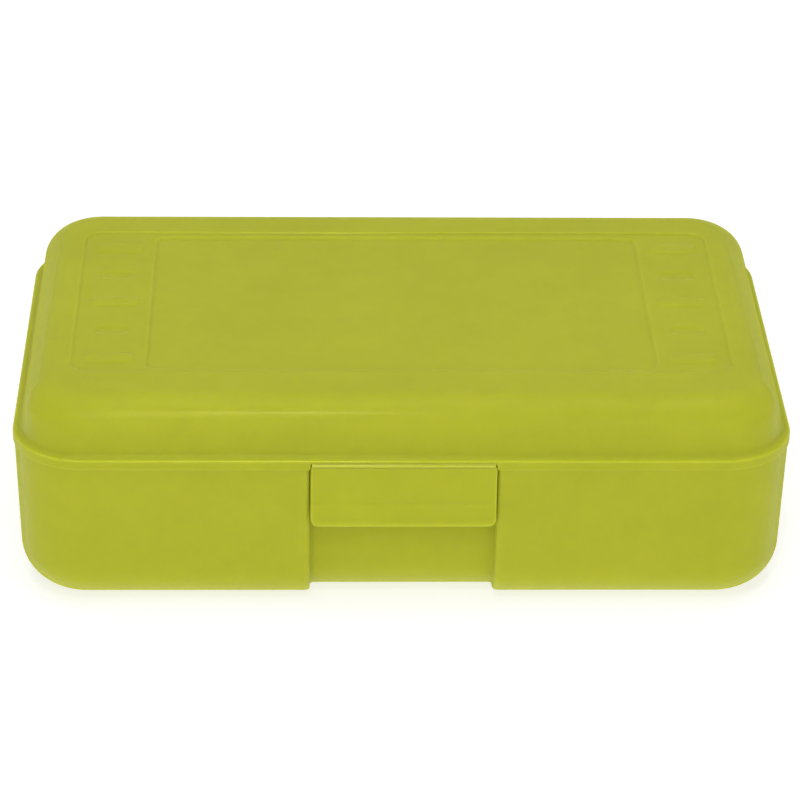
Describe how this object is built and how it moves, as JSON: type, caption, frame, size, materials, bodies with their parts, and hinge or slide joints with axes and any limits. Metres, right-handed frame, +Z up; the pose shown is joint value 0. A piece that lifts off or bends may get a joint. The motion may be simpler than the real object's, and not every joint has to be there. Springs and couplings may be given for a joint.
{
  "type": "pencil case",
  "caption": "Hinged plastic pencil case: rounded tub, domed lid with a sunk top panel, rear snap hinges and a front latch flap on a living hinge over a finger recess.",
  "frame": {"origin": "centre of the case's flat bottom, midway between the ends and between the front and back of the lid's rim", "axes": "+X along the case's length, to the right for a person facing the latch; -Y is the latch side and +Y the hinge side; +Z up through the lid"},
  "size_m": [0.216, 0.1397, 0.063],
  "materials": {
    "tub_plastic": "lime, slightly frosted translucent polypropylene with a soft satin gloss",
    "lid_plastic": "lime, slightly frosted translucent polypropylene with a soft satin gloss"
  },
  "bodies": {
    "tub": {"base_tub": "tub_plastic", "tub_hinge_brackets": "tub_plastic", "front_catch": "tub_plastic"},
    "lid": {"lid_shell": "lid_plastic", "lid_hinge_clips": "lid_plastic", "latch_living_hinge": "lid_plastic"},
    "latch": {"latch_flap": "lid_plastic"}
  },
  "joints": [
    {"name": "lid_hinge", "type": "hinge", "parent": "tub", "child": "lid", "pos_m": [0, 0.0694, 0.0446], "axis": [-1, 0, 0], "range_deg": [0, 115]},
    {"name": "latch_hinge", "type": "hinge", "parent": "lid", "child": "latch", "pos_m": [0, -0.06522, 0.0466], "axis": [-1, 0, 0], "range_deg": [0, 90], "stiffness_Nm_per_rad": 0.01, "deforming": ["latch_living_hinge"]}
  ]
}
